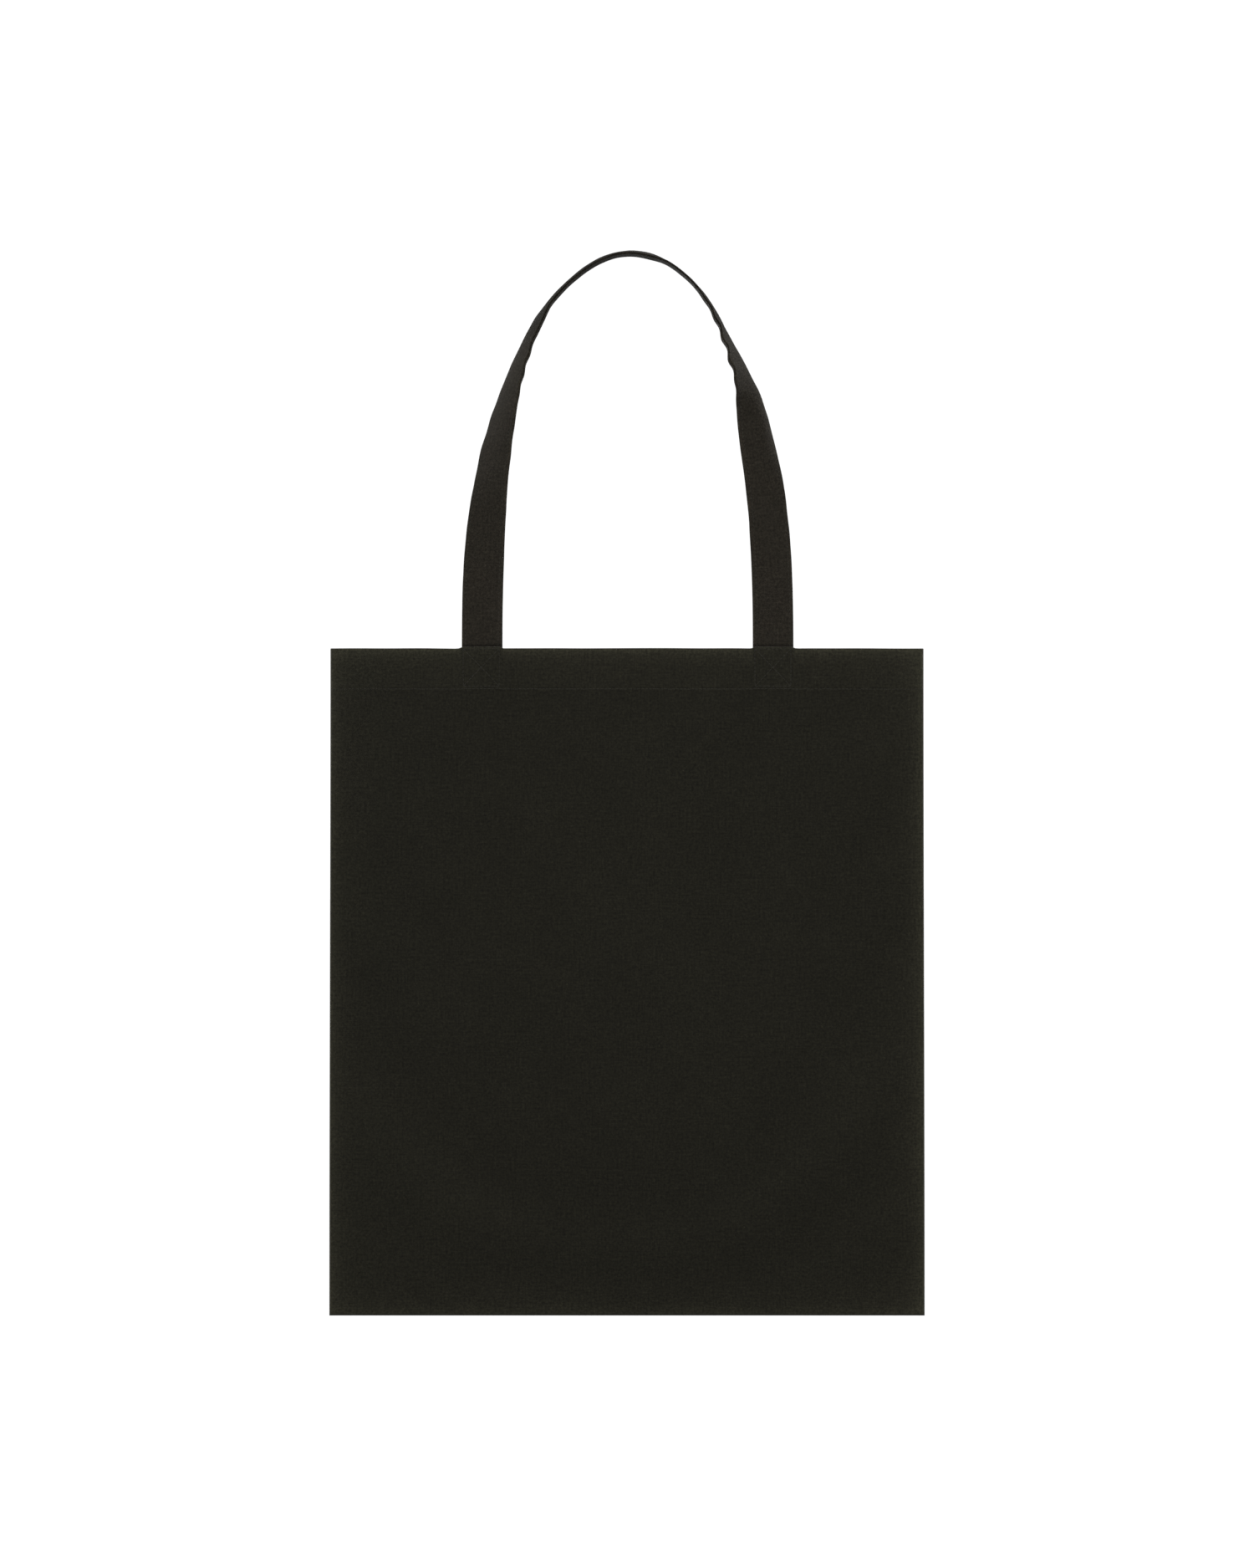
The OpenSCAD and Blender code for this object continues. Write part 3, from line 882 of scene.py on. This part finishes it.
def looper_thread(bag, where, low, turns):
    """From the needle's line over one face, round the cut edge and back over the other face."""
    edge, face = ALLOWANCE_W + 0.05 * MM, THREAD_FACE
    half_way, near_edge = (NEEDLE_LINE + edge) / 2, edge - 0.5 * MM
    cycle = [
        (0.0, NEEDLE_LINE, face), (0.2, half_way, face), (0.4, near_edge, face), (0.5, edge, 0.0),
        (0.6, near_edge, -face), (0.8, half_way, -face), (1.0, NEEDLE_LINE, -face),
        (1.02, NEEDLE_LINE, 0),
    ]
    along, inward, y = [], [], []
    for k in range(turns):
        for share, w, d in cycle:
            along.append(low + (k + share) * OVERLOCK_PITCH)
            inward.append(w)
            y.append(d)
    along, inward, y = map(np.array, (along, inward, y))
    wave = seam_wave(along, inward, SEAM_SEEDS[where])
    return tube(seam_point(bag, where, along, inward, y + wave), LOOPER_R)


def needle_thread(bag, where, low, turns, face):
    """The needle's line of stitches on one face of the allowance."""
    along = np.linspace(low, low + turns * OVERLOCK_PITCH, turns * 2)
    inward = NEEDLE_LINE + 0 * along
    level = face * (THREAD_FACE + 0.06 * MM * np.cos(np.arange(len(along)) * math.pi))
    wave = seam_wave(along, inward, SEAM_SEEDS[where])
    return tube(seam_point(bag, where, along, inward, level + wave), NEEDLE_R)


# ---- materials

CANVAS_TONE = (0.0085, 0.0081, 0.0052)
STRAP_TONE = (0.0121, 0.0104, 0.0077)
THREAD_TONE = (0.0168, 0.0158, 0.0122)
CANVAS_YARN, STRAP_YARN = 0.52 * MM, 0.50 * MM  # spacing of the yarns
CANVAS_SHEEN, STRAP_SHEEN = 0.2, 0.04
YARN_WANDER = 1.1  # how far a noise shifts the yarns, in yarns
WEAR_AND_PAINTED_LIGHT_PALER, LINT_PALER = 1.5, 0.8  # how much full wear and painted light, or lint, adds to the shade of the dye
NOISE_LOW, NOISE_HIGH = 0.3, 0.7  # where most of a noise's values lie


class Nodes:
    """Short way to add shader nodes to a material."""

    def __init__(self, name):
        self.material = bpy.data.materials.new(name)
        self.material.use_nodes = True
        self.tree = self.material.node_tree
        self.shader = self.tree.nodes["Principled BSDF"]

    def add(self, kind, settings=None, **inputs):
        """A node, whose inputs may be values or other nodes' outputs."""
        node = self.tree.nodes.new(kind)
        for key, value in (settings or {}).items():
            setattr(node, key, value)
        for key, value in inputs.items():
            self.put(node.inputs[key.replace("_", " ")], value)
        return node

    def put(self, socket, value):
        if isinstance(value, bpy.types.NodeSocket):
            self.tree.links.new(value, socket)
        else:
            socket.default_value = value

    def math(self, operation, a, b=0.0, c=0.0):
        node = self.tree.nodes.new("ShaderNodeMath")
        node.operation = operation
        for socket, value in zip(node.inputs, (a, b, c)):
            self.put(socket, value)
        return node.outputs[0]

    def times(self, a, b):
        return self.math("MULTIPLY", a, b)

    def add_times(self, a, b, c):
        """a times b, plus c."""
        return self.math("MULTIPLY_ADD", a, b, c)

    def noise(self, vector, scale, detail=2.0, roughness=0.55, stretch=(1, 1, 1)):
        mapping = self.add("ShaderNodeMapping", Vector=vector, Scale=stretch)
        node = self.add("ShaderNodeTexNoise", Scale=scale, Detail=detail, Roughness=roughness,
                        Vector=mapping.outputs[0])
        return node.outputs[0]

    def spread(self, value, low, high, to_low, to_high):
        node = self.add("ShaderNodeMapRange", Value=value, From_Min=low, From_Max=high, To_Min=to_low,
                        To_Max=to_high)
        return node.outputs[0]

    def vary(self, noise, low, high):
        """From low to high over the usual values of a noise."""
        return self.spread(noise, NOISE_LOW, NOISE_HIGH, low, high)

    def dye(self, tone, shade):
        """Colour the material with the tone times the shade."""
        dyed = self.add("ShaderNodeVectorMath", {"operation": "SCALE"})
        dyed.inputs[0].default_value = tone
        self.put(dyed.inputs["Scale"], shade)
        self.put(self.shader.inputs["Base Color"], dyed.outputs[0])

    def surface(self, inputs):
        """Inputs of the material's own shader."""
        for name, value in inputs.items():
            self.put(self.shader.inputs[name], value)


def plain_weave(nodes, place, yarn, warp_noise, weft_noise):
    """Height of a plain weave: warp and weft yarns that pass over and under each other."""
    parts = nodes.add("ShaderNodeSeparateXYZ", Vector=place)
    shift_u, shift_v = (nodes.times(n, YARN_WANDER) for n in (warp_noise, weft_noise))
    u = nodes.add_times(parts.outputs[0], 1 / yarn, shift_u)
    v = nodes.add_times(parts.outputs[1], 1 / yarn, shift_v)
    sin_u, sin_v = (nodes.math("SINE", nodes.times(c, math.pi)) for c in (u, v))
    warp = nodes.times(sin_v, nodes.math("SIGN", sin_u))
    weft = nodes.times(nodes.times(sin_u, nodes.math("SIGN", sin_v)), -1)
    warp = nodes.math("ADD", warp, nodes.math("ABSOLUTE", sin_u))
    weft = nodes.math("ADD", weft, nodes.math("ABSOLUTE", sin_v))
    return nodes.times(nodes.math("MAXIMUM", warp, weft), 0.5)


def cloth_material(name, tone, yarn, seed, sheen):
    """Matte dyed cotton: a plain weave with uneven yarns, specks and lint, and an attribute of wear and
    painted light that makes edges paler and strap creases darker.
    """
    nodes = Nodes(name)
    coords = nodes.add("ShaderNodeUVMap").outputs[0]
    place = nodes.add("ShaderNodeMapping", Vector=coords, Location=(seed, seed * 0.37, 0)).outputs[0]
    warp_noise = nodes.noise(place, 95, 3, 0.6, (9, 0.9, 1))
    weft_noise = nodes.noise(place, 95, 3, 0.6, (0.9, 9, 1))
    weave = plain_weave(nodes, place, yarn, warp_noise, weft_noise)
    fibre = nodes.noise(place, 2600, 3, 0.7)
    speckle = nodes.noise(place, 620, 2, 0.75)
    mottle = nodes.noise(place, 26, 4, 0.6)
    patch = nodes.noise(place, 6, 2, 0.5)
    lint = nodes.spread(nodes.noise(place, 520, 2, 0.5, (1, 0.6, 1)), 0.7, 0.78, 0.0, 1.0)
    # The attribute carries wear together with painted light: paler edges that stand in for sheen and
    # light, and painted shade in the strap's crease and top.
    wear_and_painted_light = nodes.add("ShaderNodeAttribute", {"attribute_name": "wear_and_painted_light"}).outputs["Fac"]

    shade = nodes.vary(warp_noise, 0.84, 1.16)
    for noise, low, high in (
        (weft_noise, 0.84, 1.16), (speckle, 0.55, 1.45), (mottle, 0.94, 1.06), (patch, 0.95, 1.05),
    ):
        shade = nodes.times(shade, nodes.vary(noise, low, high))
    # painted shade: darker in the gaps between yarns, where the weave is low
    shade = nodes.times(shade, nodes.spread(weave, 0.2, 1.0, 0.5, 1.16))
    shade = nodes.add_times(lint, LINT_PALER, shade)
    paler = nodes.add_times(wear_and_painted_light, WEAR_AND_PAINTED_LIGHT_PALER, 1.0)
    nodes.dye(tone, nodes.times(shade, paler))

    nodes.surface({
        "Roughness": nodes.add_times(wear_and_painted_light, -0.05, nodes.vary(fibre, 0.86, 0.98)),
        "Normal": cloth_bump(nodes, weave, fibre, lint, speckle, mottle), "Specular IOR Level": 0.06,
        "Sheen Weight": sheen, "Sheen Roughness": 0.45, "Sheen Tint": (0.62, 0.6, 0.56, 1),
    })
    return nodes.material


def cloth_bump(nodes, weave, fibre, lint, speckle, mottle):
    """Bumps of the yarns, fibres, lint and specks, and a softer unevenness under them."""
    height = nodes.add_times(fibre, 0.35, weave)
    height = nodes.add_times(lint, 0.5, height)
    height = nodes.add_times(speckle, 0.8, height)
    fine = nodes.add("ShaderNodeBump", Strength=0.8, Distance=0.16 * MM, Height=height)
    soft = nodes.add("ShaderNodeBump", Strength=0.35, Distance=0.5 * MM, Height=mottle,
                     Normal=fine.outputs[0])
    return soft.outputs[0]


def thread_material():
    """Spun thread: two plies twisted together, a little smoother than the cloth."""
    nodes = Nodes("sewing_thread")
    coords = nodes.add("ShaderNodeUVMap").outputs[0]
    parts = nodes.add("ShaderNodeSeparateXYZ", Vector=coords)
    round_thread = nodes.times(parts.outputs[0], 2.0)
    twist = nodes.add_times(parts.outputs[1], 4.0, round_thread)
    ply = nodes.math("ABSOLUTE", nodes.math("SINE", nodes.times(twist, math.pi)))
    fuzz = nodes.noise(coords, 14, 3, 0.7)
    # painted shade: darker in the grooves between the twisted plies
    shade = nodes.times(nodes.spread(ply, 0, 1, 0.7, 1.15), nodes.vary(fuzz, 0.85, 1.15))
    nodes.dye(THREAD_TONE, shade)
    bump = nodes.add("ShaderNodeBump", Strength=0.5, Distance=0.08 * MM,
                     Height=nodes.add_times(fuzz, 0.4, ply))
    nodes.surface({
        "Roughness": nodes.vary(fuzz, 0.68, 0.85), "Normal": bump.outputs[0],
        "Specular IOR Level": 0.12, "Sheen Weight": 0.03,
    })
    return nodes.material


# ---- studio

FLOOR_BELOW, FLOOR_RADIUS = 0.22, 60.0
CAMERA_FAR, VIEW_HEIGHT = 9.0, 0.9862  # from the bag, and what the picture takes in at the bag
CAMERA_DROP = 0.3 * MM  # the picture's middle is this far below the bag's
SKY_SEEN, SKY_LIGHT = 1.1, 0.3  # the white behind the bag, and the light that it gives
LIGHT_SIZE = 0.9
# Softboxes: places from the middle of the bag, and watts.
LIGHTS = [
    ("left_softbox", (-2.2, -1.5, 1.5), 89),
    ("right_softbox", (2.1, -1.35, 1.1), 53),
    ("low_softbox", (0.5, -1.5, -0.15), 11.3),
    ("back_left_softbox", (-2.1, 1.35, 1.1), 53),
    ("back_right_softbox", (2.2, 1.5, 1.5), 89),
    ("back_low_softbox", (-0.5, 1.5, -0.15), 11.3),
]


def studio(bag):
    """White floor and sky, soft lights in front and behind, and the camera level with the bag."""
    centre = (bag.apex_z + STRAP_T / 2 + bag.bottom) / 2 - CAMERA_DROP
    ground = disc(bag.bottom - FLOOR_BELOW, FLOOR_RADIUS)
    floor = make_mesh("floor", *ground, material=floor_material())
    floor.visible_diffuse = floor.visible_glossy = False
    bpy.context.scene.world = white_sky()
    for name, place, power in LIGHTS:
        soft_light(name, place, centre, power)
    camera(centre)


def white_sky():
    """Pure white where the camera sees it, and a dim light everywhere else."""
    world = bpy.data.worlds.new("studio_sky")
    world.use_nodes = True
    nodes, links = world.node_tree.nodes, world.node_tree.links
    nodes["Background"].inputs["Color"].default_value = (1.0, 1.0, 1.0, 1)
    seen, strength = nodes.new("ShaderNodeLightPath"), nodes.new("ShaderNodeMapRange")
    strength.inputs["To Min"].default_value = SKY_LIGHT
    strength.inputs["To Max"].default_value = SKY_SEEN
    links.new(seen.outputs["Is Camera Ray"], strength.inputs["Value"])
    links.new(strength.outputs[0], nodes["Background"].inputs["Strength"])
    return world


def disc(z, radius, rings=6, sides=48):
    """A level disc: a fan of triangles, with rings of quads round it that grow wider outwards."""
    angles = np.linspace(0, 2 * math.pi, sides, endpoint=False)
    verts, faces = [(0, 0, z)], []
    for r in np.geomspace(1.5, radius, rings):
        verts += [(r * math.cos(a), r * math.sin(a), z) for a in angles]
    for j in range(sides):
        faces.append((0, 1 + j, 1 + (j + 1) % sides))
    for i in range(rings - 1):
        a, b = 1 + i * sides, 1 + (i + 1) * sides
        faces += [(a + j, b + j, b + (j + 1) % sides, a + (j + 1) % sides) for j in range(sides)]
    return verts, faces, np.array(verts)[:, :2]


def floor_material():
    """Matte white that also glows, so that it is as white as the sky in the picture."""
    nodes = Nodes("pale_floor")
    grain = nodes.noise(nodes.add("ShaderNodeNewGeometry").outputs["Position"], 3, 2)
    nodes.surface({
        "Base Color": (0.92, 0.92, 0.92, 1), "Emission Color": (1, 1, 1, 1), "Emission Strength": 0.75,
        "Roughness": nodes.vary(grain, 0.8, 0.95), "Specular IOR Level": 0.1,
    })
    return nodes.material


def soft_light(name, place, centre_z, power):
    light = bpy.data.lights.new(name, "AREA")
    light.shape, light.size, light.energy = "DISK", LIGHT_SIZE, power
    obj = add_object(name, light)
    obj.location = (place[0], place[1], place[2] + centre_z)
    aim = Vector((0, 0, centre_z)) - obj.location
    obj.rotation_euler = aim.to_track_quat("-Z", "Y").to_euler()


def camera(centre):
    """A long lens far away, level with the middle of the bag, that takes in a little under a metre."""
    data = bpy.data.cameras.new("camera")
    data.sensor_fit, data.sensor_height = "VERTICAL", 36
    data.lens = data.sensor_height * CAMERA_FAR / VIEW_HEIGHT
    data.clip_end = 200
    obj = add_object("camera", data)
    obj.location = (0, -CAMERA_FAR - 0.01, centre)
    obj.rotation_euler = (math.radians(90), 0, 0)
    bpy.context.scene.camera = obj


# ---- the whole bag

def build_side(bag, side, canvas, webbing, thread):
    """One panel in two halves, one strap, and all the threads in them."""
    word, strap = WORD[side], Strap(bag, side)
    for hand, hand_word in ((-1, "left"), (1, "right")):
        half_panel(bag, f"{word}_cloth_{hand_word}", side, hand, canvas)
        hem_stitches(bag, f"{word}_hem_stitches_{hand_word}", side, hand, thread)
        box_stitches(strap, f"{word}_{hand_word}_box_stitch", hand, thread)
    strap_mesh(strap, f"{word}_strap", webbing)
    strap_stitches(strap, f"{word}_strap_stitches", thread)


def main():
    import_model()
    bag = Bag()
    bpy.context.scene.view_settings.view_transform = "Standard"
    studio(bag)
    canvas = cloth_material("black_canvas", CANVAS_TONE, CANVAS_YARN, 0.0, CANVAS_SHEEN)
    webbing = cloth_material("black_strap_cloth", STRAP_TONE, STRAP_YARN, 3.1, STRAP_SHEEN)
    thread = thread_material()
    for side in (-1, 1):
        build_side(bag, side, canvas, webbing, thread)
    for where in ("left", "right", "bottom"):
        seam_allowance(bag, where, canvas)
        overlock_thread(bag, where, thread)


main()
